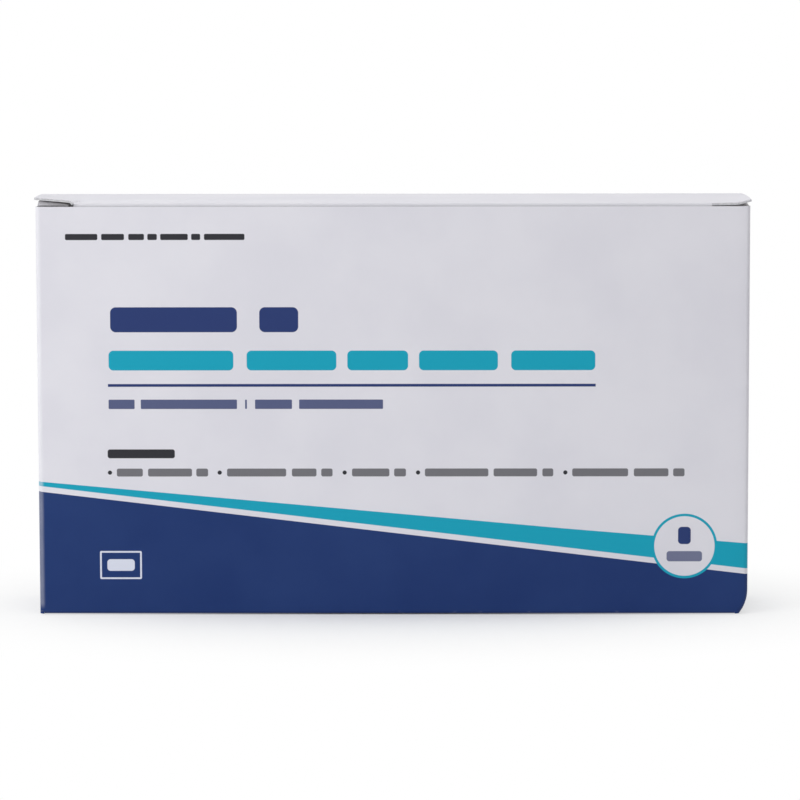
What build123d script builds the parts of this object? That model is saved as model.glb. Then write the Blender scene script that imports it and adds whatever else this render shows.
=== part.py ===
from build123d import *
import math
import os

# A printed folding carton that holds one rapid test kit, shut and standing upright.
# The sleeve is one folded and glued piece of paperboard. Each end is shut by a lid with a
# tuck flap: the top lid hinges on the back panel, the bottom lid on the front panel.
# Millimetres. +Z is up, the front panel faces -Y, the origin is the middle of the base.

# Carton
width = 150.0             # outside, across the front panel
depth = 24.0              # outside, front panel to back panel
height = 87.2             # floor to the upper face of the shut top lid
board = 0.45              # paperboard
corner_radius = 0.9       # outside of the four upright creases
fold_radius = 0.6         # outside of the creases at both ends
nest_gap = 0.05           # air between two boards that lie on each other
crease_gap = 0.04         # slot between the two halves of a lid's hinge crease
edge_drop = 0.1           # cut top edge of the front panel, below the dust flaps' faces

# Dust flaps
flap_length = 30.0        # from the side panel inwards
flap_setback = 2.0        # from the outside of the panel that the tuck slides behind
flap_ease = 0.9           # from the outside of the panel that carries the lid
flap_shoulder = 1.6       # taper of each long edge
flap_shoulder_run = 5.0   # length of that taper
flap_corner = 4.0         # rounding of the free corners

# Glue flap inside the back panel
glue_width = 12.0
glue_end = 4.0            # clear of the dust flaps' creases
glue_slant = 3.0
seam_gap = 0.15           # slot along the back panel's raw edge
seam_inset = 0.6          # from the side panel's outside to that slot

# Lids
slit_length = 8.0         # each slit lock, from the lid's end along the tuck crease
lid_overhang = 0.15       # each end of the lid, past the side panel
hinge_relief = 0.3        # each end of the hinge crease, inside the side panel
tuck_length = 11.0        # tuck flap, along its bow
tuck_clearance = 0.15     # behind the panel that it is tucked into
tuck_ease = 0.3           # each side of the tuck, inside the slits
tuck_corner = 6.0
ear_inset = 0.05          # top lid's ears, behind the outside of the front panel
curl_rise_left = 1.3      # lifted corner of the top lid, left as seen from the front
curl_step_left = 0.6      # its rise beside the slit
curl_run_left = 1.2       # length over which that step is reached
curl_rise_right = 0.85    # lifted corner of the top lid, right
curl_step_right = 0.1
curl_run_right = 5.5
curl_reach = 0.45         # share of the depth, from the hinge, where the curl is nearly full
curl_share = 0.8          # share of the rise that it has there

# Knocked lower right corner
bump_radius = 8.4
bump_inset = 1.7          # at the floor, in from the side panel's plane

# Kit inside, from the front panel backwards
pack_gap = 0.15           # air between one thing and the next, front to back
insert_side = 6.55        # leaflet, clear of each side panel
insert_clear = 3.0        # leaflet, below the top lid's tuck
insert_ply = 0.32
insert_plies = 4
fold_air = 0.06           # air inside a fold
sachet_height = 34.0
sachet_seal = 6.0
sachet_swell = 8.0
sachet_core_end = 9.0     # thick middle, in from each end of the sachet
sachet_core_height = 9.0
sachet_edge = 2.0         # sachet, clear of the left side panel
sachet_vial_gap = 9.1     # sachet, clear of the vial
pouch_left = 6.55         # pouch, clear of the left side panel
pouch_right = 16.55
pouch_clear = 19.25       # pouch, below the top dust flaps
pouch_seal = 8.0
pouch_core_end = 26.0     # flat middle over the cassette, in from each end of the pouch
pouch_core_height = 24.0
film = 0.3                # two welded films
pack_corner = 2.0
pillow_corner = 6.0
core_corner = 3.0
tear_notch = 1.6
bag_side = 4.55           # bag, clear of each side panel
bag_clear = 15.5          # bag, below the top dust flaps
bag_back = 3.84           # bag, clear of the back panel
bag_ply = 0.17
bag_plies = 2

# Dropper vial that stands at the right end
vial_radius = 5.5
vial_wall = 0.9
vial_barrel = 38.0
vial_shoulder = 2.5
neck_radius = 3.8
neck_height = 7.0
neck_bore = 2.6
vial_edge = 5.0           # vial, in from the right side panel's inside
fluid_depth = 24.0
fluid_gap = 0.05
closure_fit = 0.08
closure_radius = 5.2
closure_skirt = 8.0
closure_taper = 3.0
dropper_radius = 2.0
dropper_height = 7.0
button_radius = 2.8
button_height = 1.6
groove_count = 10
groove_radius = 0.5

half_width = width / 2
half_depth = depth / 2
inner_depth = half_depth - board
flap_level = board + nest_gap
flap_top = height - flap_level
front_top = flap_top - edge_drop
bump_rise = math.sqrt(bump_radius**2 - (bump_radius - bump_inset) ** 2)
bump_centre = (half_width - bump_radius, bump_rise)
split_angle = 45.0
split_gap = math.degrees(crease_gap / 2 / fold_radius)
crease_centre = (half_depth - fold_radius, height - fold_radius)
seat = flap_level + board + nest_gap


def polar(centre, radius, angle):
    turn = math.radians(angle)
    return (centre[0] + radius * math.cos(turn), centre[1] + radius * math.sin(turn))


# The top lid swings about pivot. Its tuck is bowed about that line, so it slides out past the
# panel in front of it. fold is the centre of the crease between the lid and the tuck.
pivot = polar(crease_centre, fold_radius, split_angle)
tuck_radius = math.hypot(pivot[0] + inner_depth, pivot[1] - front_top) - tuck_clearance
fold_drop = pivot[1] - crease_centre[1]
fold = (pivot[0] - math.sqrt((tuck_radius - fold_radius) ** 2 - fold_drop**2), crease_centre[1])
tuck_start = 180 + math.degrees(math.atan2(fold_drop, pivot[0] - fold[0]))
tuck_end = tuck_start + math.degrees(tuck_length / tuck_radius)
tuck_tip = polar(pivot, tuck_radius, tuck_end)
lower_loss = bump_inset + lid_overhang


def front_outline(inset, low):
    """Front view of the sleeve, moved in by inset, with its knocked corner."""
    radius = bump_radius - inset
    drop = math.degrees(math.asin((bump_centre[1] - low) / radius))
    corner = polar(bump_centre, radius, -drop)
    left = inset - half_width
    right = half_width - inset
    top = flap_top - inset
    return make_face([
        Line((left, low), corner),
        CenterArc(bump_centre, radius, -drop, drop),
        Line((right, bump_centre[1]), (right, top)),
        Line((right, top), (left, top)),
        Line((left, top), (left, low)),
    ])


def rounded_block(inset, low):
    """Sleeve outline through the whole depth, with its four upright creases rounded."""
    block = extrude(Plane.XZ * front_outline(inset, low), half_depth - inset, both=True)
    side = half_width - bump_inset - inset
    face = half_depth - inset
    middles = [(edge, edge.center()) for edge in block.edges()]
    upright = [edge for edge, at in middles if abs(at.X) > side and abs(abs(at.Y) - face) < nest_gap]
    return fillet(upright, corner_radius - inset)


def slab(x_range, y_range, z_range):
    spans = [high - low for low, high in (x_range, y_range, z_range)]
    return Pos(x_range[0], y_range[0], z_range[0]) * Box(*spans, align=(Align.MIN, Align.MIN, Align.MIN))


def crease_trim(side, level, upward, reach):
    """What a rounded crease along Y takes off the square corner of side and level."""
    corner = Pos(side * half_width, 0, level)
    square = corner * Box(2 * fold_radius, 2 * reach, 2 * fold_radius)
    axle = Pos(side * (half_width - fold_radius), 0, level - upward * fold_radius)
    outer_half = slab(
        sorted((side * (half_width - fold_radius), side * (half_width + fold_radius))),
        (-reach, reach),
        sorted((level - upward * fold_radius, level + upward * fold_radius)),
    )
    return (square & outer_half) - axle * Rot(X=90) * Cylinder(fold_radius, 3 * reach)


def flap_plan():
    """Right dust flap from above, for the end whose tuck slides behind the front panel."""
    near = flap_setback - half_depth
    far = half_depth - flap_ease
    tip = half_width - flap_length
    run = half_width - flap_shoulder_run
    plan = make_face(Polyline(
        (half_width, near), (half_width, far), (run, far - flap_shoulder / 2),
        (tip, far - flap_shoulder), (tip, near + flap_shoulder), (run, near + flap_shoulder / 2),
        close=True,
    ))
    free = plan.vertices().sort_by(Axis.X)[:2]
    return fillet(free, flap_corner)


def end_waste(front_side):
    """Plan of what is cut out of a closed end, so that two dust flaps remain."""
    flap = flap_plan() if front_side else mirror(flap_plan(), Plane.XZ)
    return Rectangle(width, 2 * inner_depth) - flap - mirror(flap, Plane.YZ)


def crease_face(start, stop):
    """Section of the lid's hinge crease between two angles, in the YZ plane."""
    inner = fold_radius - board
    return make_face([
        CenterArc(crease_centre, fold_radius, start, stop - start),
        Line(polar(crease_centre, fold_radius, stop), polar(crease_centre, inner, stop)),
        CenterArc(crease_centre, inner, start, stop - start),
        Line(polar(crease_centre, inner, start), polar(crease_centre, fold_radius, start)),
    ])


def across(face, x_range):
    """Extrude a YZ section from one x to another."""
    return Pos(x_range[0], 0, 0) * extrude(Plane.YZ * face, x_range[1] - x_range[0])


def turned_over(shape):
    """Top end to bottom end: the hinge goes from the back panel to the front panel."""
    return Pos(0, 0, height) * Rot(X=180) * shape


def hinge_span(right_loss):
    return (hinge_relief - half_width, half_width - hinge_relief - right_loss)


def carton_sleeve():
    """Front, back and side panels with a pair of dust flaps at each end."""
    whole = (-half_width, half_width)
    inside = (-inner_depth, inner_depth)
    block = rounded_block(0, 0)
    shell = block - rounded_block(board, -board)
    shell += block & slab(whole, inside, (flap_level, flap_level + board))
    shell -= slab(whole, inside, (0, flap_level))
    shell -= Pos(0, 0, flap_top - fold_radius) * extrude(end_waste(True), fold_radius)
    shell -= Pos(0, 0, flap_level) * extrude(end_waste(False), fold_radius)
    for side in (-1, 1):
        shell -= crease_trim(side, flap_top, 1, depth)
    shell -= crease_trim(-1, flap_level, -1, inner_depth)

    shell -= slab(whole, (-half_depth, -inner_depth), (front_top, height))
    shell -= slab(whole, (inner_depth, half_depth), (height - fold_radius, height))
    shell -= slab(hinge_span(lower_loss), (-half_depth, -inner_depth), (0, fold_radius))
    hinge_half = crease_face(0, split_angle - split_gap)
    shell += across(hinge_half, hinge_span(0))
    shell += turned_over(across(hinge_half, hinge_span(lower_loss)))

    seam = seam_inset - half_width
    shell -= slab((seam, seam + seam_gap), (inner_depth, half_depth), (0, height))
    return shell + glue_flap()


def glue_flap():
    low = glue_end
    high = flap_top - glue_end
    root = board - half_width
    tip = root + glue_width
    outline = make_face(Polyline(
        (root, low), (tip, low + glue_slant), (tip, high - glue_slant), (root, high), close=True,
    ))
    return Pos(0, inner_depth, 0) * extrude(Plane.XZ * outline, board)


def tuck_section():
    """YZ section of a lid: its panel, the fold and the bowed tuck."""
    inner_bow = tuck_radius - board
    under = height - board
    bow = tuck_end - tuck_start
    turn = tuck_start - 90
    return make_face([
        Line((crease_centre[0], height), (fold[0], height)),
        CenterArc(fold, fold_radius, 90, turn),
        CenterArc(pivot, tuck_radius, tuck_start, bow),
        Line(tuck_tip, polar(pivot, inner_bow, tuck_end)),
        CenterArc(pivot, inner_bow, tuck_start, bow),
        CenterArc(fold, fold_radius - board, 90, turn),
        Line((fold[0], under), (crease_centre[0], under)),
        Line((crease_centre[0], under), (crease_centre[0], height)),
    ])


def lid_ear(side, slit, hinge_end, front_end, front, rises):
    """One end of a lid, beside the tuck. rises lists (run from the slit, rise) towards the corner."""
    sections = []
    for share, lift in ((0.0, 0.0), (curl_reach, curl_share), (1.0, 1.0)):
        y = crease_centre[0] + share * (front - crease_centre[0])
        end = hinge_end + share * (front_end - hinge_end)
        line = [(slit, 0.0)] + [(slit + run, rise * lift) for run, rise in rises[:-1]]
        line.append((end, rises[-1][1] * lift))
        upper = [(side * x, y, height + rise) for x, rise in line]
        lower = [(side * x, y, height - board + rise) for x, rise in reversed(line)]
        sections.append(Face(Wire.make_polygon(upper + lower)))
    return loft(sections, ruled=True)


def tuck_lid(front, left_rises, right_rises, right_loss, overhang):
    """Lid of the top end. right_loss shortens its right end for the knocked corner."""
    left_slit = half_width - slit_length
    right_slit = left_slit - right_loss
    lid = across(tuck_section(), (-left_slit, right_slit))
    lid += across(crease_face(split_angle + split_gap, 90), hinge_span(right_loss))
    left_hinge, right_hinge = hinge_span(right_loss)
    lid += lid_ear(-1, left_slit, -left_hinge, half_width + overhang, front, left_rises)
    lid += lid_ear(1, right_slit, right_hinge, half_width + overhang - right_loss, front, right_rises)

    zone = Pos((right_slit - left_slit) / 2, (tuck_tip[1] + fold[1]) / 2)
    span = right_slit + left_slit
    fall = fold[1] - tuck_tip[1]
    rounded = Rectangle(span - 2 * tuck_ease, fall)
    rounded = fillet(rounded.vertices().sort_by(Axis.Y)[:2], tuck_corner)
    waste = Plane.XZ * (zone * (Rectangle(span, fall) - rounded))
    return lid - extrude(waste, half_depth)


def top_lid():
    left = [(curl_run_left, curl_step_left), (slit_length, curl_rise_left)]
    right = [(curl_run_right, curl_step_right), (slit_length, curl_rise_right)]
    return tuck_lid(ear_inset - half_depth, left, right, 0, lid_overhang)


def bottom_lid():
    flat = [(slit_length / 2, 0.0), (slit_length, 0.0)]
    reach = nest_gap - inner_depth
    return turned_over(tuck_lid(reach, flat, flat, lower_loss, -lid_overhang))


def folded_sheet(length, tall, ply, plies):
    """Sheet folded to and fro, standing on its folds. Its front face is at y = 0."""
    pitch = ply + fold_air
    outer = ply + fold_air / 2
    section = Sketch()
    for index in range(plies):
        middle = index * pitch + ply / 2
        section += Pos(middle, tall / 2) * Rectangle(ply, tall - 2 * outer)
    for index in range(plies - 1):
        side = 1 if index % 2 else -1
        centre = (index * pitch + outer, tall / 2 + side * (tall / 2 - outer))
        ring = Pos(*centre) * (Circle(outer) - Circle(fold_air / 2))
        section += ring & (Pos(centre[0], centre[1] + side * outer) * Rectangle(2 * outer, 2 * outer))
    return across(section, (-length / 2, length / 2))


def sealed_pack(length, tall, seal, swell, core):
    """Flat welded pack with a pillow on both faces. It stands on z = 0, about y = 0."""
    rim = RectangleRounded(length, tall, pack_corner)
    for side in (-1, 1):
        rim -= Pos(side * length / 2, tall / 4) * Rot(Z=45) * Rectangle(tear_notch, tear_notch)
    pack = extrude(rim, film / 2, both=True)
    pillow = loft(
        [
            Pos(0, 0, film / 2) * RectangleRounded(length - 2 * seal, tall - 2 * seal, pillow_corner),
            Pos(0, 0, swell / 2) * RectangleRounded(*core, core_corner),
        ],
        ruled=True,
    )
    pack += pillow
    pack += mirror(pillow, Plane.XY)
    return Pos(0, 0, tall / 2) * Rot(X=90) * pack


def revolved(points):
    return revolve(Plane.XZ * make_face(Polyline(*points, close=True)), Axis.Z)


def vial_cavity(gap, top):
    inner = vial_radius - vial_wall - gap
    floor = vial_wall + gap
    bore = neck_bore - gap
    shoulder_top = vial_barrel + vial_shoulder
    if top < vial_barrel:
        return revolved([(0, floor), (inner, floor), (inner, top), (0, top)])
    return revolved([
        (0, floor), (inner, floor), (inner, vial_barrel), (bore, shoulder_top), (bore, top), (0, top),
    ])


def buffer_vial():
    shoulder_top = vial_barrel + vial_shoulder
    top = shoulder_top + neck_height
    body = revolved([
        (0, 0), (vial_radius, 0), (vial_radius, vial_barrel), (neck_radius, shoulder_top),
        (neck_radius, top), (0, top),
    ])
    return body - vial_cavity(0, top + vial_wall)


def buffer_fluid():
    return vial_cavity(fluid_gap, vial_wall + fluid_depth)


def vial_cap():
    """Screw cap with a dropper tip, whose end is a button that twists off."""
    base = vial_barrel + vial_shoulder + fluid_gap
    roof = base + neck_height
    skirt_top = base + closure_skirt
    dropper = skirt_top + closure_taper
    button = dropper + dropper_height
    inner = neck_radius + closure_fit
    cap = revolved([
        (inner, base), (closure_radius, base), (closure_radius, skirt_top), (dropper_radius, dropper),
        (dropper_radius, button), (button_radius, button), (button_radius, button + button_height),
        (0, button + button_height), (0, roof), (inner, roof),
    ])
    for index in range(groove_count):
        groove = Rot(Z=360 * index / groove_count) * Pos(closure_radius, 0, base + closure_skirt / 2)
        cap -= groove * Cylinder(groove_radius, closure_skirt - 2 * groove_radius)
    return cap


inner_side = half_width - board
ceiling = flap_top - board
insert_depth = insert_plies * insert_ply + (insert_plies - 1) * fold_air
insert_front = pack_gap - inner_depth
slot_front = insert_front + insert_depth + pack_gap
vial_y = slot_front + vial_radius
vial_x = inner_side - vial_edge - vial_radius
bag_depth = bag_plies * bag_ply + (bag_plies - 1) * fold_air
bag_front = inner_depth - bag_back - bag_depth
pouch_front = slot_front + 2 * vial_radius + pack_gap
pouch_swell = bag_front - pack_gap - pouch_front


def package_insert():
    length = 2 * (inner_side - insert_side)
    leaflet = folded_sheet(length, tuck_tip[1] - insert_clear - seat, insert_ply, insert_plies)
    return Pos(0, insert_front, seat) * leaflet


def collector_sachet():
    left = sachet_edge - inner_side
    length = vial_x - vial_radius - sachet_vial_gap - left
    core = (length - 2 * sachet_core_end, sachet_core_height)
    sachet = sealed_pack(length, sachet_height, sachet_seal, sachet_swell, core)
    return Pos(left + length / 2, vial_y, seat) * sachet


def foil_pouch():
    left = pouch_left - inner_side
    length = inner_side - pouch_right - left
    core = (length - 2 * pouch_core_end, pouch_core_height)
    pouch = sealed_pack(length, ceiling - pouch_clear - seat, pouch_seal, pouch_swell, core)
    return Pos(left + length / 2, pouch_front + pouch_swell / 2, seat) * pouch


def biosafety_bag():
    bag = folded_sheet(2 * (inner_side - bag_side), ceiling - bag_clear - seat, bag_ply, bag_plies)
    return Pos(0, bag_front, seat) * bag


vial_place = Pos(vial_x, vial_y, seat)
pieces = {
    "carton_sleeve": carton_sleeve(),
    "top_lid": top_lid(),
    "bottom_lid": bottom_lid(),
    "package_insert": package_insert(),
    "collector_sachet": collector_sachet(),
    "buffer_vial": vial_place * buffer_vial(),
    "buffer_fluid": vial_place * buffer_fluid(),
    "vial_cap": vial_place * vial_cap(),
    "foil_pouch": foil_pouch(),
    "biosafety_bag": biosafety_bag(),
}

os.makedirs("parts", exist_ok=True)
for name, piece in pieces.items():
    export_step(piece, f"parts/{name}.step")
print("hinge lines:", pivot, (-pivot[0], height - pivot[1]))
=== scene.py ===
import math

import bmesh
import bpy
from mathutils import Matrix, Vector
from mathutils.noise import fractal


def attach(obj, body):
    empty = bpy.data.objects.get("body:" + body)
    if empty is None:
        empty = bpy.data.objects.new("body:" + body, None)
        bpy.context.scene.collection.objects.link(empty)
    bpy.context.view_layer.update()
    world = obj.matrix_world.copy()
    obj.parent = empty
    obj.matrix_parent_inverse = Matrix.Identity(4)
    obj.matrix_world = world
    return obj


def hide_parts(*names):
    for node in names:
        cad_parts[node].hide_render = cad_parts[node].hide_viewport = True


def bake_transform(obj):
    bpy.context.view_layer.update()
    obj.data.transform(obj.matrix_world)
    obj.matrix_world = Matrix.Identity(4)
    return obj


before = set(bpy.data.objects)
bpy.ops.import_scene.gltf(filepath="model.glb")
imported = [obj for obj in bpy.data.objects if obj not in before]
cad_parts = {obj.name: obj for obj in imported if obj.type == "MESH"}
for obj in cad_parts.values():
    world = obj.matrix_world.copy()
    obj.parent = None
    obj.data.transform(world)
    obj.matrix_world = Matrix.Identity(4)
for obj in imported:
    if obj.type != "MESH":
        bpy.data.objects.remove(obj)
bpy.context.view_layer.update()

# Studio of the photograph.
# A long lens a metre from the carton and a little above it, a white floor that runs into
# white, even daylight, a broad lamp from the left, one overhead and one behind.
scene = bpy.context.scene
scene.view_settings.view_transform = "Standard"

camera_data = bpy.data.cameras.new("photo_camera")
camera_data.sensor_width = 36
camera_data.lens = 212.86
camera_data.clip_start = 0.02
camera = bpy.data.objects.new("photo_camera", camera_data)
camera.location = (0.0121, -1.0, 0.1784)
camera.rotation_euler = [math.radians(angle) for angle in (82.35, 0.12, 0.6)]
scene.collection.objects.link(camera)
scene.camera = camera


def area_lamp(name, place, target, size, watts):
    data = bpy.data.lights.new(name, "AREA")
    data.shape = "DISK"
    data.size = size
    data.energy = watts
    lamp = bpy.data.objects.new(name, data)
    lamp.location = place
    lamp.rotation_euler = (Vector(target) - Vector(place)).to_track_quat("-Z", "Y").to_euler()
    scene.collection.objects.link(lamp)


area_lamp("key_lamp", (-0.62, -0.50, 0.36), (-0.01, 0, 0.045), size=0.5, watts=2.85)
area_lamp("top_lamp", (0.0, -0.15, 1.1), (0, 0, 0.045), size=0.9, watts=3.4)
area_lamp("back_lamp", (-0.3, 0.75, 0.95), (0, 0, 0.045), size=0.9, watts=1.6)


class Wire:
    """One socket of a node tree. Sums on wires add Math nodes to that tree."""

    def __init__(self, tree, socket=None):
        self.tree = tree
        self.socket = socket

    def node(self, kind, settings=None, sockets=None, out=0):
        made = self.tree.nodes.new(kind)
        for name, value in (settings or {}).items():
            setattr(made, name, value)
        for name, value in (sockets or {}).items():
            if isinstance(value, Wire):
                self.tree.links.new(value.socket, made.inputs[name])
            else:
                made.inputs[name].default_value = value
        return Wire(self.tree, made.outputs[out])

    def maths(self, operation, *values):
        return self.node("ShaderNodeMath", {"operation": operation}, dict(enumerate(values)))

    def __add__(self, other):
        return self.maths("ADD", self, other)

    def __radd__(self, other):
        return self.maths("ADD", other, self)

    def __sub__(self, other):
        return self.maths("SUBTRACT", self, other)

    def __rsub__(self, other):
        return self.maths("SUBTRACT", other, self)

    def __mul__(self, other):
        return self.maths("MULTIPLY", self, other)

    def __rmul__(self, other):
        return self.maths("MULTIPLY", other, self)

    def __abs__(self):
        return self.maths("ABSOLUTE", self)

    def least(self, other):
        return self.maths("MINIMUM", self, other)

    def most(self, other):
        return self.maths("MAXIMUM", self, other)

    def step(self, start, stop):
        """0 below start and 1 above stop, with a smooth rise between them."""
        return self.node(
            "ShaderNodeMapRange",
            {"interpolation_type": "SMOOTHSTEP"},
            {0: self, 1: start, 2: stop, 3: 0.0, 4: 1.0},
        )

    def mix(self, first, second):
        """The first colour where this mask is 0 and the second where it is 1."""
        return self.node("ShaderNodeMix", {"data_type": "RGBA"}, {0: self, 6: first, 7: second}, out=2)

    def seen(self):
        """1 for what the camera sees directly, in a reflection or through something clear."""
        rays = ("Is Camera Ray", "Is Glossy Ray", "Is Transmission Ray")
        direct, mirrored, through = [self.node("ShaderNodeLightPath", out=name) for name in rays]
        return direct.most(mirrored).most(through)


def linear(red, green, blue):
    """Colour as a picture shows it, 0 to 255, in Blender's linear light."""
    shares = [value / 255 for value in (red, green, blue)]
    return tuple(s / 12.92 if s < 0.04045 else ((s + 0.055) / 1.055) ** 2.4 for s in shares) + (1,)


pure_white = (1, 1, 1, 1)
daylight = 0.46
world = bpy.data.worlds.new("studio")
world.use_nodes = True
scene.world = world
sky = Wire(world.node_tree)
strength = daylight + sky.seen() * (1 - daylight)
background = world.node_tree.nodes["Background"]
world.node_tree.links.new(strength.socket, background.inputs["Strength"])
background.inputs["Color"].default_value = pure_white


def deselect_objects():
    bpy.ops.object.select_all(action="DESELECT")


floor_size = 6
floor_level = -0.0002
floor_white = (0.97, 0.97, 0.97, 1)
shadow_core, shadow_edge = 0.005, 0.075
deselect_objects()
bpy.ops.mesh.primitive_plane_add(size=floor_size, location=(0, 0, floor_level))
floor = bpy.context.object
floor.name = "floor"
floor_paint = bpy.data.materials.new("white_floor")
floor_paint.use_nodes = True
floor_tree = floor_paint.node_tree
floor_tree.nodes.remove(floor_tree.nodes["Principled BSDF"])
paint = Wire(floor_tree)
ground = paint.node("ShaderNodeTexCoord", out="Object")
oval = paint.node("ShaderNodeVectorMath", {"operation": "MULTIPLY"}, {0: ground, 1: (0.6, 1.0, 0)})
away = paint.node("ShaderNodeVectorMath", {"operation": "LENGTH"}, {0: oval}, out="Value")
far_white = away.step(shadow_core, shadow_edge) * paint.seen()
matt = paint.node("ShaderNodeBsdfDiffuse", {}, {"Color": floor_white})
white = paint.node("ShaderNodeEmission", {}, {"Color": pure_white, "Strength": 1.0})
mixed = paint.node("ShaderNodeMixShader", {}, {0: far_white, 1: matt, 2: white})
floor_tree.links.new(mixed.socket, floor_tree.nodes["Material Output"].inputs["Surface"])
floor.data.materials.append(floor_paint)

# Carton sleeve.
# One piece of 0.45 mm coated white paperboard: front, sides and back, folded at four scored
# creases and glued along a flap inside the back panel. Each side ends in two dust flaps.
half_width = 0.0750
half_depth = 0.0120
height = 0.0872
board = 0.00045
crease = 0.0009
end_crease = 0.0006
flap_gap = 0.0005
sleeve_top = 0.0866
hair = 0.00001
beyond_all = 1
axis_x, axis_y, axis_z = (1, 0, 0), (0, 1, 0), (0, 0, 1)


def within(piece, kind, x=(-1, 1), y=(-1, 1), z=(-1, 1)):
    """In edit mode, select just the verts, edges or faces that lie wholly in this box."""
    bpy.ops.mesh.select_mode(type=kind)
    bpy.ops.mesh.select_all(action="DESELECT")
    mesh = bmesh.from_edit_mesh(piece.data)
    for part in {"VERT": mesh.verts, "EDGE": mesh.edges, "FACE": mesh.faces}[kind]:
        corners = [part] if kind == "VERT" else part.verts
        if all(
            low - hair <= value <= high + hair
            for corner in corners
            for value, (low, high) in zip(corner.co, (x, y, z))
        ):
            part.select_set(True)
    mesh.select_flush_mode()
    bmesh.update_edit_mesh(piece.data)


def cut(piece, place, normal, drop=False, **box):
    """Cut the faces of a box by a plane. With drop, the faces on the normal's side go."""
    within(piece, "FACE", **box)
    bpy.ops.mesh.bisect(plane_co=place, plane_no=normal, threshold=hair / 10)
    if drop:
        within(piece, "FACE", **box)
        for face in bmesh.from_edit_mesh(piece.data).faces:
            if face.select and (face.calc_center_median() - Vector(place)).dot(Vector(normal)) < 0:
                face.select_set(False)
        bmesh.update_edit_mesh(piece.data)
        bpy.ops.mesh.delete(type="FACE")


def turn_edge(piece, steps, angle, centre, axis, **box):
    """Roll a new strip of board about an axis, from a box's edges or those still selected."""
    if box:
        within(piece, "EDGE", **box)
    bpy.ops.mesh.spin(steps=steps, angle=-math.radians(angle), center=centre, axis=axis)


def pull_edge(move):
    bpy.ops.mesh.extrude_region_move(TRANSFORM_OT_translate={"value": move})


def start_panel(name, x_range, other_range, upright, level):
    """A flat rectangle of board, upright facing the front or lying face up."""
    deselect_objects()
    bpy.ops.mesh.primitive_plane_add(size=1)
    piece = bpy.context.object
    piece.name = name
    piece.data.name = name
    bpy.ops.object.mode_set(mode="EDIT")
    middle = (sum(x_range) / 2, level, sum(other_range) / 2)
    span = (x_range[1] - x_range[0], other_range[1] - other_range[0], 1)
    bpy.ops.transform.resize(value=span)
    if upright:
        for corner in bmesh.from_edit_mesh(piece.data).verts:
            corner.co = (corner.co.x, 0, corner.co.y)
    else:
        middle = (middle[0], middle[2], middle[1])
    bpy.ops.transform.translate(value=middle)
    return piece


fold_x = half_width - crease
fold_depth = half_depth - crease
seam_play = 0.00008
sleeve = start_panel("carton_board", (-fold_x, fold_x), (0, sleeve_top), True, -half_depth)
turn_edge(sleeve, 4, 90, (fold_x, -fold_depth, 0), axis_z, x=(fold_x, beyond_all))
pull_edge((0, 2 * fold_depth, 0))
turn_edge(sleeve, 4, 90, (fold_x, fold_depth, 0), axis_z)
pull_edge((seam_play - fold_x - half_width, 0, 0))
turn_edge(sleeve, 4, -90, (-fold_x, -fold_depth, 0), axis_z, x=(-1, -fold_x), y=(-1, -half_depth))

glue_level = half_depth - board - 0.00003
glue_reach = 0.0119
glue_slope = 0.24
glue_ends = ((0.0824, 1), (0.0042, -1))
glue_fold_x = end_crease - half_width
past_glue = -0.06
pull_edge((0, glue_level - end_crease + fold_depth, 0))
turn_edge(sleeve, 4, -90, (glue_fold_x, glue_level - end_crease, 0), axis_z)
pull_edge((glue_reach, 0, 0))
for level, way in glue_ends:
    cut(sleeve, (glue_fold_x, 0, level), (glue_slope, 0, way), True,
        x=(glue_fold_x, past_glue), y=(glue_level, glue_level))

flap_crease_drop = 0.0005
flap_spans = {1: (-0.0112, 0.0111), -1: (-0.0111, 0.0112)}
flap_runs = ((0.0062, 0.985), (0.0012, 0.845), (0.0220, 0.918))
flap_tip = (0.0448, 0.0452)
flap_corner = 0.004
panel_back = 0.0115
for end in (1, -1):
    crease_level = sleeve_top - flap_crease_drop if end == 1 else flap_gap + end_crease
    near, far = flap_spans[end]
    past_crease = (crease_level, 1) if end == 1 else (0, crease_level)
    for side in (-1, 1):
        panel = dict(x=(side * half_width, side * half_width), y=(-fold_depth, panel_back))
        cut(sleeve, (0, 0, crease_level), axis_z, z=(0, 1), **panel)
        cut(sleeve, (0, near, 0), axis_y, z=past_crease, **panel)
        cut(sleeve, (0, far, 0), axis_y, z=past_crease, **panel)
        within(sleeve, "FACE", x=panel["x"], y=(near, far), z=past_crease)
        bpy.ops.mesh.delete(type="FACE")
        turn_edge(sleeve, 4, -side * end * 90,
                  (side * (half_width - end_crease), 0, crease_level), axis_y,
                  x=panel["x"], y=(near, far), z=(crease_level, crease_level))
        for run, taper in flap_runs:
            pull_edge((-side * run, 0, 0))
            bpy.ops.transform.resize(value=(1, taper, 1), center_override=(0, (near + far) / 2, 0))
        flap_level = crease_level + end * end_crease
        within(sleeve, "VERT", x=sorted(side * tip for tip in flap_tip), z=(flap_level, flap_level))
        bpy.ops.mesh.bevel(offset=flap_corner, segments=6, affect="VERTICES")

# The top lid's left ear has sprung up at its slit, and the dust flap under it with it.
slit = 0.0670
ear_length = 0.0082
hinge_y = 0.0114
ear_depth = 0.02335
left_rises = [(0, 0.00010), (0.0002, 0.00034), (0.0005, 0.00062), (0.0012, 0.00078),
              (ear_length, 0.00132)]
right_rises = [(0, 0), (0.0030, 0.00006), (0.0055, 0.00012), (ear_length, 0.00085)]


def lift(run, row, rises):
    """How far an ear's board has sprung up, from its distance to the slit and its place in y."""
    run = min(run, ear_length)
    for (start, low), (stop, high) in zip(rises, rises[1:]):
        if run <= stop:
            torn = low + (high - low) * (run - start) / (stop - start)
            break
    share = min(1.0, max(0.0, (hinge_y - row) / ear_depth))
    bent = rises[-1][1] * (run / ear_length) ** 1.3
    torn_share = share ** 7
    return (torn * torn_share + bent * (1 - torn_share)) * (1 - (1 - share) ** 2.2)


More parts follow.
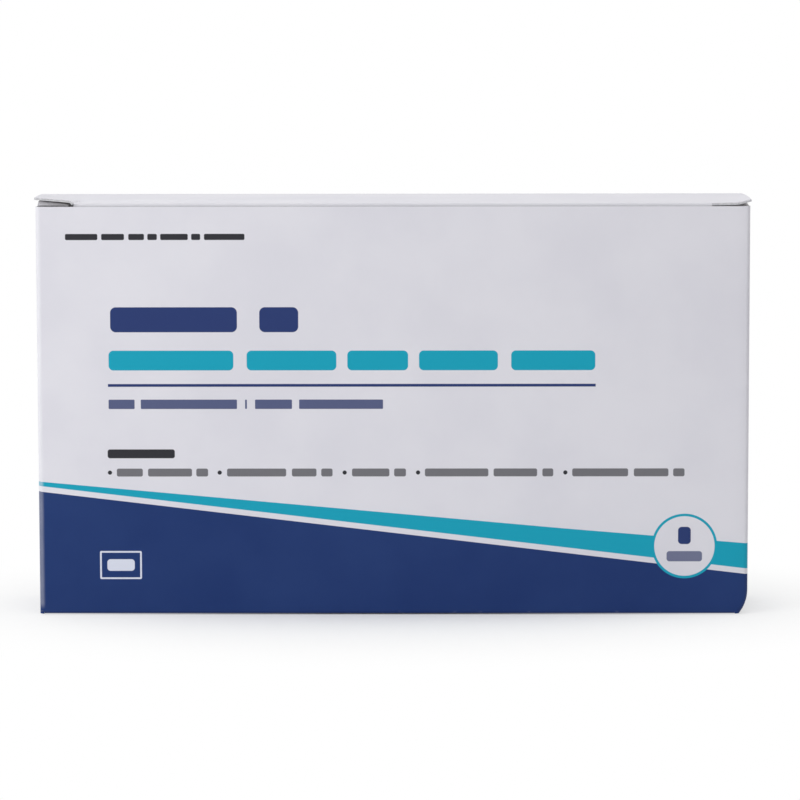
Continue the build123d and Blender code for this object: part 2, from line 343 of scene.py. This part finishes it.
flap_front = flap_spans[1][0]
lip_depth = 0.0009
follow = 0.8
sprung_end = -0.0672
past_tip = -0.0445
sprung_level = sleeve_top - flap_crease_drop + end_crease
sprung_rows = dict(x=(-1, sprung_end), z=(sprung_level, sprung_level))
cut(sleeve, (sprung_end, 0, 0), axis_x, x=(-1, past_tip), z=sprung_rows["z"])
for x_cut in (-0.0688, -0.0703, -0.0722):
    cut(sleeve, (x_cut, 0, 0), axis_x, **sprung_rows)
for y_cut in (-0.0103, -0.0088, -0.005, -0.001, 0.0035, 0.0075):
    cut(sleeve, (0, y_cut, 0), axis_y, **sprung_rows)
for corner in bmesh.from_edit_mesh(sleeve.data).verts:
    if corner.co.x < sprung_end - 10 * hair and abs(corner.co.z - sprung_level) < hair:
        from_front = min(1.0, (corner.co.y - flap_front) / lip_depth)
        corner.co.z += follow * from_front * lift(-corner.co.x - slit, corner.co.y, left_rises)
bmesh.update_edit_mesh(sleeve.data)

# The lower right corner was knocked in, along an arc from the side panel to the base.
knock_radius = 0.0084
knock_inset = 0.0017
knock_rise = math.sqrt(knock_radius**2 - (knock_radius - knock_inset) ** 2)
lower_end = fold_x - knock_inset - 0.0001
right_part = 0.04
cut(sleeve, (lower_end, 0, 0), axis_x, y=(-1, -half_depth))
cut(sleeve, (0, 0, end_crease), axis_z, y=(-1, -half_depth))
within(sleeve, "FACE", x=(-1, lower_end), y=(-1, -half_depth), z=(0, end_crease))
bpy.ops.mesh.delete(type="FACE")
for level in (0.0016, 0.0022, 0.0029, 0.0036, 0.0043, knock_rise):
    cut(sleeve, (0, 0, level), axis_z, x=(lower_end, beyond_all))
levels = {round(corner.co.z, 6) for corner in bmesh.from_edit_mesh(sleeve.data).verts
          if corner.co.x > right_part and corner.co.z < knock_rise - hair}
for level in sorted(levels):
    push = knock_radius - math.sqrt(knock_radius**2 - (knock_rise - level) ** 2)
    pushed_from = right_part if abs(level - flap_gap) < hair else lower_end + hair * 3
    within(sleeve, "VERT", x=(pushed_from, beyond_all), z=(level, level))
    bpy.ops.transform.translate(value=(-push, 0, 0))


def close_sheet(piece, outward):
    """Merge doubles and turn the faces outwards. outward is the side of the largest face."""
    bpy.ops.mesh.select_all(action="SELECT")
    bpy.ops.mesh.remove_doubles(threshold=hair)
    bpy.ops.mesh.normals_make_consistent(inside=False)
    largest = max(bmesh.from_edit_mesh(piece.data).faces, key=lambda face: face.calc_area())
    if largest.normal.dot(Vector(outward)) < 0:
        bpy.ops.mesh.flip_normals()
    bpy.ops.object.mode_set(mode="OBJECT")


close_sheet(sleeve, axis_y)


def solidify(piece, thickness, offset, smooth_angle, **settings):
    """Give a sheet its thickness, and shade it smooth but at its folds."""
    solid = piece.modifiers.new("thickness", "SOLIDIFY")
    solid.thickness = thickness
    solid.offset = offset
    for name, value in settings.items():
        setattr(solid, name, value)
    deselect_objects()
    piece.select_set(True)
    bpy.context.view_layer.objects.active = piece
    bpy.ops.object.modifier_apply(modifier=solid.name)
    bpy.ops.object.shade_smooth_by_angle(angle=math.radians(smooth_angle))


def finish(name, roughness, specular):
    """A material of one shader. What varies over it is linked by dress."""
    made = bpy.data.materials.new(name)
    made.use_nodes = True
    shader = made.node_tree.nodes["Principled BSDF"]
    shader.inputs["Roughness"].default_value = roughness
    shader.inputs["Specular IOR Level"].default_value = specular
    return made, Wire(made.node_tree)


def dress(material, **links):
    shader = material.node_tree.nodes["Principled BSDF"]
    for name, wire in links.items():
        material.node_tree.links.new(wire.socket, shader.inputs[name.replace("_", " ")])


def axes(wire, place):
    return [wire.node("ShaderNodeSeparateXYZ", {}, {0: place}, out=axis) for axis in "XYZ"]


def rest_place(wire):
    """Where a point of the board is when the carton is shut."""
    return wire.node("ShaderNodeAttribute", {"attribute_name": "place"}, out="Vector")


def keep_place(piece):
    """Store each point's place in the shut carton, so that a pattern stays on the moving lid."""
    places = piece.data.attributes.new("place", "FLOAT_VECTOR", "POINT")
    places.data.foreach_set("vector", [value for point in piece.data.vertices for value in point.co])


def noise(wire, place, scale, detail):
    return wire.node("ShaderNodeTexNoise", {}, {"Vector": place, "Scale": scale, "Detail": detail})


def relief(wire, rise, strength, distance):
    sockets = {"Strength": strength, "Distance": distance, "Height": rise}
    return wire.node("ShaderNodeBump", {}, sockets, out="Normal")


board_white = linear(222, 221, 228)
board_white_cool = linear(217, 216, 224)
navy = linear(23, 52, 108)
navy_deep = linear(13, 45, 102)
teal = linear(6, 157, 183)
ink = linear(42, 42, 48)
heading_navy = linear(34, 53, 107)
label_white = linear(214, 218, 232)
# Near-white of the painted highlight on the left crease, and of real scuffs on the navy lid.
wear_and_highlight_white = linear(236, 236, 240)
print_edge = 0.00012


def coated_board(name):
    """The coated side of the board: material, wire, rest place, cloudy tone and fine relief."""
    made, wire = finish(name, roughness=0.42, specular=0.22)
    place = rest_place(wire)
    cloudy = noise(wire, place, scale=55.0, detail=4.0)
    fine = noise(wire, place, scale=900.0, detail=2.0)
    return made, wire, place, cloudy, relief(wire, fine, strength=0.10, distance=0.00005)


def printed_area(inward):
    """Mask of a printed shape, from the distance inside its outline."""
    return inward.step(-print_edge / 2, print_edge / 2)


def bars(wire, x, z, words, z_range, radius):
    """Mask of a row of round-ended bars, one for each word's place in a printed line, in mm."""
    top, foot = z_range
    middle, half = (top + foot) / 2, (top - foot) / 2
    across = None
    for start, stop in words:
        centre, half_word = (start + stop) / 2000, (stop - start) / 2000
        reach = abs(x - centre) - (half_word - radius)
        across = reach if across is None else across.least(reach)
    up = abs(z - middle) - (half - radius)
    side = across.most(0)
    tall = up.most(0)
    squared = side * side + tall * tall
    gap = squared.maths("SQRT", squared) + across.most(up).least(0) - radius
    return printed_area(0 - gap)


printed, wire, place, cloudy, fine_relief = coated_board("printed_coated_board")
x, y, z = axes(wire, place)
from_left = x + half_width
front = (0 - y).step(0.01145, 0.01185)
white = cloudy.step(0.3, 0.7).mix(board_white, board_white_cool)
blue = cloudy.step(0.25, 0.75).mix(navy, navy_deep)
navy_top = 0.02624 - from_left * (0.01785 / 0.1506)
teal_low = navy_top + 0.00118
teal_rise_left = 0.02748 - from_left * (0.00912 / 0.11015)
teal_rise_right = 0.01836 - (x - 0.03525) * (0.00366 / 0.0404)
teal_field = printed_area(teal_rise_left.most(teal_rise_right) - z) * printed_area(z - teal_low)
navy_field = printed_area(navy_top - z)
colour = teal_field.mix(white, teal)
colour = navy_field.mix(colour, blue)

small_words = ((-68.8, -62.0), (-61.2, -56.4), (-55.5, -52.2), (-51.5, -49.5), (-48.8, -43.0),
               (-42.3, -40.4), (-39.6, -31.1))
contents_word = ((-60.3, -46.1),)
listed_words = ((-58.4, -52.9), (-51.8, -42.5), (-41.6, -39.1), (-35.1, -22.6), (-21.4, -16.2),
                (-15.2, -12.8), (-8.7, -0.8), (0.2, 2.7), (6.7, 20.1), (21.2, 30.4), (31.5, 33.8),
                (37.8, 49.6), (50.8, 58.1), (59.1, 61.5))
list_dots = ((-60.3, -59.4), (-37.1, -36.2), (-10.7, -9.8), (4.8, 5.7), (35.9, 36.8))
title_words = ((-59.5, -32.8), (-28.1, -19.9))
rule_line = ((-60.1, 42.7),)
under_words = ((-60.0, -54.5), (-53.2, -32.9), (-31.2, -30.8), (-29.1, -21.3), (-19.8, -2.1))
subtitle_words = ((-59.9, -33.6), (-30.8, -11.9), (-9.6, 3.2), (5.5, 22.1), (24.9, 42.6))
small = bars(wire, x, z, small_words, (0.0809, 0.0796), 0.0003)
contents = bars(wire, x, z, contents_word, (0.0352, 0.0333), 0.0005)
listed = bars(wire, x, z, listed_words, (0.0311, 0.0294), 0.0004)
dots = bars(wire, x, z, list_dots, (0.03069, 0.02979), 0.00045)
title = bars(wire, x, z, title_words, (0.0654, 0.0601), 0.0012)
rule = bars(wire, x, z, rule_line, (0.04912, 0.04852), 0.00005)
under = bars(wire, x, z, under_words, (0.0458, 0.0438), 0.0002)
subtitle = bars(wire, x, z, subtitle_words, (0.0562, 0.0520), 0.0010)
colour = (small.most(contents).most(listed * 0.8).most(dots) * front).mix(colour, ink)
colour = (title.most(rule).most(under * 0.9) * front).mix(colour, heading_navy)
colour = (subtitle * front).mix(colour, teal)

badge_centre = (0.06157, 0, 0.01449)
badge_radius, disc_radius = 0.00692, 0.00638
flat = wire.node("ShaderNodeCombineXYZ", {}, {0: x, 2: z})
badge = wire.node(
    "ShaderNodeVectorMath", {"operation": "DISTANCE"}, {0: flat, 1: badge_centre}, out="Value"
)
colour = (printed_area(badge_radius - badge) * front).mix(colour, teal)
colour = (printed_area(disc_radius - badge) * front).mix(colour, white)
badge_bar = bars(wire, x, z, ((60.2, 62.9),), (0.0186, 0.0149), 0.0008)
badge_line = bars(wire, x, z, ((57.8, 65.3),), (0.0134, 0.0112), 0.0006)
colour = (badge_bar.most(badge_line * 0.8) * front).mix(colour, heading_navy)

label = bars(wire, x, z, ((-62.14, -53.29),), (0.01346, 0.00744), 0.0003)
label_inside = bars(wire, x, z, ((-61.78, -53.65),), (0.0131, 0.0078), 0.0001)
label_bar = bars(wire, x, z, ((-60.6, -54.8),), (0.0117, 0.0092), 0.0007)
colour = ((label - label_inside).most(label_bar) * front).mix(colour, label_white)

# Painted highlight, with some real rubbing: the left crease is lightened toward white where the lamp
# from the left catches its rounding, broken up a little by wear of the print; the right crease gets
# none.
fold_start, fold_stop = 0.0013, 0.0006
fold_band = abs(y).step(half_depth - fold_start, half_depth - fold_stop)
left_band = (0 - x).step(half_width - fold_start, half_width - fold_stop)
left_fold_wear_and_highlight = left_band * fold_band * z.step(0.0008, 0.0024)
rubbed = noise(wire, place, scale=160.0, detail=3.0).step(0.3, 0.62)
wear_and_painted_highlight = left_fold_wear_and_highlight * (0.3 + rubbed * 0.12) * (1 - navy_field * 0.5)
colour = wear_and_painted_highlight.mix(colour, wear_and_highlight_white)
dress(printed, Base_Color=colour, Normal=fine_relief)


def bare_board(name, roughness, specular, scale, detail, tones, strength, distance):
    """Board with no coating: short fibres, in two tones."""
    made, wire = finish(name, roughness, specular)
    fibres = noise(wire, rest_place(wire), scale, detail)
    fibre_colour = fibres.step(0.3, 0.7).mix(*tones)
    dress(made, Base_Color=fibre_colour, Normal=relief(wire, fibres, strength, distance))
    return made


back_tones = (linear(206, 203, 198), linear(190, 187, 181))
inside = bare_board("uncoated_board_back", roughness=0.85, specular=0.2, scale=420.0, detail=5.0,
                    tones=back_tones, strength=0.25, distance=0.00008)
edge_tones = (linear(206, 206, 209), linear(184, 184, 189))
raw_edge = bare_board("cut_board_edge", roughness=0.9, specular=0.15, scale=1500.0, detail=3.0,
                      tones=edge_tones, strength=0.3, distance=0.0001)


def make_board(piece, outer_finish):
    """Thicken a folded sheet inwards. Its inside is slot 1 and its cut edge slot 2."""
    for material in (outer_finish, inside, raw_edge):
        piece.data.materials.append(material)
    solidify(piece, board, -1, 32, use_even_offset=True, use_quality_normals=True,
             material_offset=1, material_offset_rim=2)
    keep_place(piece)


make_board(sleeve, printed)
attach(sleeve, "sleeve")
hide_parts("carton_sleeve")

# Lids.
# Each is a panel that closes one end, folded from the same board, with a bowed tuck that
# slides behind the opposite panel and a slit at each end of the tuck's crease.
fold_y = -0.010800
fold_z = 0.0866
hinge = (0, 0.011824264, 0.087024264)
fold_angle = 91.07
tuck_angle = 27.13
tuck_tip = 0.0761
tuck_corner = 0.006
slit_play = 0.0003


def lid_sheet(name, right_loss, ear_front, overhang, hinge_ends):
    """Outer face of the top end's lid: crease, panel, fold, tuck and the two ears."""
    left, right = -half_width - overhang, half_width - right_loss + overhang
    slits = (-slit, slit - right_loss)
    lid = start_panel(name, (left, right), (fold_y, hinge_y), False, height)
    for x_range, present, wanted in zip(((-1, 0), (0, 1)), (left, right), hinge_ends):
        within(lid, "VERT", x=x_range, y=(hinge_y, beyond_all))
        bpy.ops.transform.translate(value=(wanted - present, 0, 0))
    for slit_end in slits:
        cut(lid, (slit_end, 0, 0), axis_x)
    turn_edge(lid, 5, fold_angle, (0, fold_y, fold_z), axis_x, x=slits, y=(fold_y, fold_y))
    turn_edge(lid, 8, tuck_angle, hinge, axis_x)
    tuck = dict(z=(0, fold_z))
    for side, slit_end in zip((-1, 1), slits):
        corner = Vector((slit_end - side * (slit_play + tuck_corner), 0, tuck_tip + tuck_corner))
        for angle in (15, 30, 45, 60, 75):
            lean = math.radians(angle)
            normal = Vector((side * math.cos(lean), 0, -math.sin(lean)))
            cut(lid, corner + normal * tuck_corner, normal, True, **tuck)
    for side, slit_end in zip((-1, 1), slits):
        cut(lid, (slit_end - side * slit_play, 0, 0), (side, 0, 0), True, **tuck)
    for ear in ((-1, slits[0]), (slits[1], 1)):
        within(lid, "EDGE", x=ear, y=(fold_y, fold_y), z=(height, height))
        pull_edge((0, ear_front - fold_y, 0))
    turn_edge(lid, 6, -90, (0, hinge_y, height - end_crease), axis_x,
              y=(hinge_y, beyond_all), z=(height, height))
    return lid


top = lid_sheet("top_lid_board", right_loss=0, ear_front=-0.01195, overhang=0.00015,
                hinge_ends=(-0.0745, 0.0745))
panel_up = (height - hair, 1)
left_ear, right_ear = (-1, -slit), (slit, 1)
for x_cut in (-0.0672, -0.0675, -0.0679, -0.0688, -0.0703, -0.0722, 0.0688, 0.0706, 0.0722, 0.0736):
    cut(top, (x_cut, 0, 0), axis_x, x=left_ear if x_cut < 0 else right_ear, z=panel_up)
for y_cut in (-0.0100, -0.0085, -0.005, -0.001, 0.0035, 0.008):
    for ear in (left_ear, right_ear):
        cut(top, (0, y_cut, 0), axis_y, x=ear, z=panel_up)
ear_points = [corner.co for corner in bmesh.from_edit_mesh(top.data).verts
              if abs(corner.co.x) > slit + hair]
springs = sorted({round(point.x, 6) for point in ear_points})
rows = sorted({round(point.y, 6) for point in ear_points if point.y < hinge_y - 10 * hair})
for spring in springs:
    rises = left_rises if spring < 0 else right_rises
    for row in rows:
        within(top, "VERT", x=(spring, spring), y=(row, row), z=(height - hair, height + hair))
        bpy.ops.transform.translate(value=(0, 0, lift(abs(spring) - slit, row, rises)))

# The panel is crumpled beside the left slit's end.
panel_area = dict(y=(fold_y, hinge_y), z=(height, height))
for x_cut in (-0.0668, -0.0664, -0.0660, -0.0656, -0.0652):
    cut(top, (x_cut, 0, 0), axis_x, x=(-slit, slit), **panel_area)
for y_cut in (-0.0086, -0.0072, -0.0056, -0.0040, -0.0024):
    cut(top, (0, y_cut, 0), axis_y, x=(-0.0668, -0.0652), **panel_area)
for x_dent, y_dent, fall in (
    (-0.0664, -0.0072, 0.00055), (-0.0664, -0.0056, 0.00045), (-0.0664, -0.0040, 0.00020),
    (-0.0660, -0.0072, -0.00014), (-0.0660, -0.0056, 0.00030),
    (-0.0656, -0.0072, 0.00050), (-0.0656, -0.0056, 0.00035),
):
    within(top, "VERT", x=(x_dent, x_dent), y=(y_dent, y_dent), z=(height, height))
    bpy.ops.transform.translate(value=(0, 0, -fall))
close_sheet(top, axis_z)

coated, wire, place, cloudy, fine_relief = coated_board("white_coated_board")
_, y, _ = axes(wire, place)
colour = cloudy.step(0.3, 0.7).mix(board_white, board_white_cool)
# Painted shade: the lid is greyed toward its front fold, where the board turns down away from the
# light.
colour = ((0 - y).step(0.0104, 0.0114) * 0.35).mix(colour, linear(196, 196, 200))
dress(coated, Base_Color=colour, Normal=fine_relief)
make_board(top, coated)
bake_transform(top)
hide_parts("top_lid")

bottom = lid_sheet("bottom_lid_board", right_loss=0.00185, ear_front=-0.0115, overhang=-0.00015,
                   hinge_ends=(-0.0747, lower_end))
bpy.ops.mesh.select_all(action="SELECT")
bpy.ops.transform.rotate(value=math.pi, orient_axis="X", center_override=(0, 0, height / 2))
close_sheet(bottom, (0, 0, -1))
navy_board, wire, place, cloudy, fine_relief = coated_board("navy_coated_board")
_, _, z = axes(wire, place)
blue = cloudy.step(0.25, 0.75).mix(navy, navy_deep)
colour = z.step(0.0038, 0.0040).mix(blue, board_white)
scuffed = noise(wire, place, scale=300.0, detail=3.0).step(0.62, 0.72)
colour = (scuffed * 0.05).mix(colour, wear_and_highlight_white)
dress(navy_board, Base_Color=colour, Normal=fine_relief)
make_board(bottom, navy_board)
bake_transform(bottom)
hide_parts("bottom_lid")

# Leaflet.
# A thin sheet printed in fine grey lines, folded to and fro into six plies of 136 x 72 mm.
# It stands behind the front panel and bows a little away from it.


def folded_sheet(name, x_range, z_range, first, ply, plies, film, cells):
    """One sheet folded at its top and its foot in turn, each ply behind the last."""
    roll = ply / 2
    low, high = z_range[0] + roll, z_range[1] - roll
    sheet = start_panel(name, x_range, (low, high), True, first)
    for count in range(plies - 1):
        fold_level, way = ((high, -1), (low, 1))[count % 2]
        here = first + count * ply
        turn_edge(sheet, 6, way * 180, (0, here + roll, fold_level), axis_x,
                  y=(here, here), z=(fold_level, fold_level))
        pull_edge((0, 0, way * (high - low)))
    bpy.ops.mesh.select_all(action="SELECT")
    bpy.ops.mesh.remove_doubles(threshold=hair)
    within(sheet, "FACE")
    bpy.ops.mesh.subdivide(number_cuts=cells)
    bpy.ops.object.mode_set(mode="OBJECT")
    solidify(sheet, film, 0, 40)
    return sheet


leaflet_half = 0.068
leaflet_foot = 0.001
leaflet_tall = 0.072
leaflet_front = -0.01133
leaflet_thick = 0.0014
leaflet = folded_sheet("leaflet", (-leaflet_half, leaflet_half), (0.0011, 0.0729), first=-0.01128,
                       ply=0.00025, plies=6, film=0.0001, cells=9)
for point in leaflet.data.vertices:
    across = 1 - (point.co.x / leaflet_half) ** 2
    rise = (point.co.z - leaflet_foot) / leaflet_tall
    ply_share = (point.co.y - leaflet_front) / leaflet_thick
    bow = 0.00035 * across * math.sin(math.pi * rise)
    curl = 0.00012 * math.sin(point.co.x * 95 + rise * 3) * rise
    point.co.y += ply_share * (bow + curl)


def object_place(wire):
    return wire.node("ShaderNodeTexCoord", out="Object")


line_pitch = 0.0017
paper, wire = finish("thin_printed_paper", roughness=0.85, specular=0.15)
place = object_place(wire)
x, _, z = axes(wire, place)
fibre = noise(wire, place, scale=700.0, detail=4.0)
paper_tone = fibre.step(0.3, 0.7).mix(linear(226, 226, 222), linear(214, 214, 209))
row_count = z * (1 / line_pitch)
row = row_count.maths("FLOOR", row_count)
in_row = abs(row_count - row - 0.5)
word_place = wire.node("ShaderNodeCombineXYZ", {}, {0: x * 330.0, 1: row * 7.3})
words = noise(wire, word_place, scale=1.0, detail=1.0).step(0.40, 0.43)
off_column = abs(abs(x) - 0.0325).step(0.0285, 0.0288)
off_page = abs(z - 0.037).step(0.0315, 0.0318)
lines = (1 - in_row.step(0.16, 0.24)) * words * (1 - off_column) * (1 - off_page)
colour = (lines * 0.55).mix(paper_tone, linear(70, 72, 80))
dress(paper, Base_Color=colour, Normal=relief(wire, fibre, strength=0.2, distance=0.00005))
leaflet.data.materials.append(paper)
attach(leaflet, "sleeve")
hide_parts("package_insert")

# Sealed packs.
# The collector's sachet and the test device's pouch are each two films welded round their
# rim, drawn tight over what they hold and creased from its corners to the welds.


def sealed_pack(name, low, high, cells, weld, core, creases):
    """A slab of fine cells, swollen between its welds over a core, with creases in the slopes."""
    film = 0.0003
    deselect_objects()
    bpy.ops.mesh.primitive_grid_add(x_subdivisions=cells[0], y_subdivisions=cells[1], size=1)
    pack = bpy.context.object
    pack.name = name
    pack.data.name = name
    width, thick, tall = (far - near for near, far in zip(low, high))
    bpy.ops.object.mode_set(mode="EDIT")
    for point in bmesh.from_edit_mesh(pack.data).verts:
        point.co = (low[0] + (point.co.x + 0.5) * width, low[1], low[2] + (point.co.y + 0.5) * tall)
    pull_edge((0, thick, 0))
    middle = (low[1] + high[1]) / 2
    for point in bmesh.from_edit_mesh(pack.data).verts:
        side_run = min(point.co.x - low[0], high[0] - point.co.x) - weld
        end_run = min(point.co.z - low[2], high[2] - point.co.z) - weld
        slope_x = min(1.0, max(0.0, side_run / core[0]))
        slope_z = min(1.0, max(0.0, end_run / core[1]))
        swell = (math.sin(slope_x * math.pi / 2) * math.sin(slope_z * math.pi / 2)) ** 0.85
        slack = swell * (1 - swell) * 4
        crumple = Vector((point.co.x * 170, (point.co.y - middle) * 90, point.co.z * 95))
        crease_depth = abs(fractal(crumple, 0.9, 2.1, 3)) * creases * slack
        ripple = math.sin(point.co.x * 520 + point.co.z * 60) * 0.00005 * (1 - swell)
        half = film / 2 + (thick / 2 - film / 2) * swell - crease_depth * swell
        side = -1 if point.co.y < middle else 1
        point.co.y = middle + side * half + ripple
    bpy.ops.mesh.select_all(action="SELECT")
    bpy.ops.mesh.normals_make_consistent(inside=False)
    bpy.ops.object.mode_set(mode="OBJECT")
    bpy.ops.object.shade_smooth_by_angle(angle=math.radians(50))
    return pack


def pack_film(name, tones, metal, low, high, weld, smooth, rough):
    """Film with cloudy sheen, and fine slanted ribs where the sealing jaws pressed its rim."""
    rib_pitch = 0.0011
    made, wire = finish(name, roughness=smooth, specular=0.4)
    made.node_tree.nodes["Principled BSDF"].inputs["Metallic"].default_value = metal
    place = object_place(wire)
    x, _, z = axes(wire, place)
    from_side = (x - low[0]).least(high[0] - x)
    from_end = (z - low[2]).least(high[2] - z)
    rim = 1 - from_side.least(from_end).step(weld - 0.0006, weld)
    turns = (x + z) * (2 * math.pi / rib_pitch)
    ribs = turns.maths("SINE", turns)
    mottle = noise(wire, place, scale=130.0, detail=5.0)
    tone = mottle.step(0.3, 0.7)
    light_tone, dark_tone, rib_tone = tones
    film_colour = tone.mix(light_tone, dark_tone)
    film_colour = (rim * ribs.step(-0.2, 0.6) * 0.35).mix(film_colour, rib_tone)
    sheen = smooth + tone * (rough - smooth)
    surface = rim * ribs * 0.5 + mottle * (1 - rim) * 0.6
    fine_relief = relief(wire, surface, strength=0.35, distance=0.0002)
    dress(made, Base_Color=film_colour, Roughness=sheen, Normal=fine_relief)
    return made


sachet_box = ((-0.07255, -0.00829, 0.001), (0.04945, -0.00029, 0.035))
sachet_weld = 0.006
sachet = sealed_pack("collector_pack", *sachet_box, cells=(122, 40), weld=sachet_weld,
                     core=(0.010, 0.0085), creases=0.0009)
sachet_tones = (linear(226, 227, 229), linear(214, 216, 219), linear(196, 199, 204))
peel_film = pack_film("peel_film", sachet_tones, 0.0, *sachet_box, sachet_weld, smooth=0.35, rough=0.55)
sachet.data.materials.append(peel_film)
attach(sachet, "sleeve")
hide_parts("collector_sachet")

pouch_box = ((-0.068, 0.00136, 0.001), (0.058, 0.00716, 0.067))
pouch_weld = 0.007
pouch = sealed_pack("device_pouch", *pouch_box, cells=(126, 70), weld=pouch_weld,
                    core=(0.019, 0.016), creases=0.0011)
pouch_tones = (linear(196, 198, 202), linear(178, 180, 185), linear(150, 152, 158))
foil = pack_film("foil_laminate", pouch_tones, 0.75, *pouch_box, pouch_weld, smooth=0.28, rough=0.46)
pouch.data.materials.append(foil)
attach(pouch, "sleeve")
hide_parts("foil_pouch")

# Waste bag.
# A clear polythene bag, pressed flat and folded once at its top, behind the pouch.
bag_half = 0.070
bag_foot = 0.001
bag_tall = 0.070
bag = folded_sheet("waste_bag", (-bag_half, bag_half), (0.0011, 0.0704), first=0.00740,
                   ply=0.00022, plies=2, film=0.00006, cells=14)
for point in bag.data.vertices:
    rise = (point.co.z - bag_foot) / bag_tall
    point.co.y += 0.00006 * math.sin(point.co.x * 130 + rise * 5) * math.sin(math.pi * rise)
clear_film, wire = finish("clear_bag_film", roughness=0.28, specular=0.5)
place = object_place(wire)
x, _, _ = axes(wire, place)
haze = noise(wire, place, scale=90.0, detail=5.0)
weld_line = (abs(x) - 0.0680).step(0.0002, 0.0006)
colour = haze.step(0.3, 0.7).mix(linear(226, 229, 232), linear(206, 210, 214))
cover = 0.55 + haze.step(0.35, 0.7) * 0.2 + weld_line * 0.2
crumpled = relief(wire, haze, strength=0.4, distance=0.0003)
dress(clear_film, Base_Color=colour, Alpha=cover, Normal=crumpled)
bag.data.materials.append(clear_film)
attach(bag, "sleeve")
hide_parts("biosafety_bag")

# Dropper vial.
# A blown vial of natural polypropylene, part filled with clear buffer, and its moulded and
# ribbed screw cap. Their turned shapes are the model's own, dressed here.
vial_plastic, wire = finish("natural_polypropylene", roughness=0.32, specular=0.45)
cloud = noise(wire, object_place(wire), scale=260.0, detail=3.0)
colour = cloud.step(0.3, 0.7).mix(linear(222, 228, 232), linear(210, 217, 222))
blown = relief(wire, cloud, strength=0.12, distance=0.0001)
dress(vial_plastic, Base_Color=colour, Alpha=0.5 + cloud * 0.1, Normal=blown)

buffer, wire = finish("clear_buffer", roughness=0.06, specular=0.5)
depth_tone = noise(wire, object_place(wire), scale=60.0, detail=1.0)
colour = depth_tone.mix(linear(206, 220, 228), linear(190, 210, 222))
dress(buffer, Base_Color=colour, Alpha=0.45 + depth_tone * 0.15)

cap_blue, wire = finish("moulded_blue_plastic", roughness=0.36, specular=0.45)
grain = noise(wire, object_place(wire), scale=900.0, detail=3.0)
streak = noise(wire, object_place(wire), scale=120.0, detail=2.0)
colour = streak.step(0.3, 0.7).mix(linear(38, 104, 166), linear(30, 90, 150))
dress(cap_blue, Base_Color=colour, Normal=relief(wire, grain, strength=0.15, distance=0.00005))
for name, material in (("buffer_vial", vial_plastic), ("buffer_fluid", buffer), ("vial_cap", cap_blue)):
    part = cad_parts[name]
    part.data.materials.clear()
    part.data.materials.append(material)
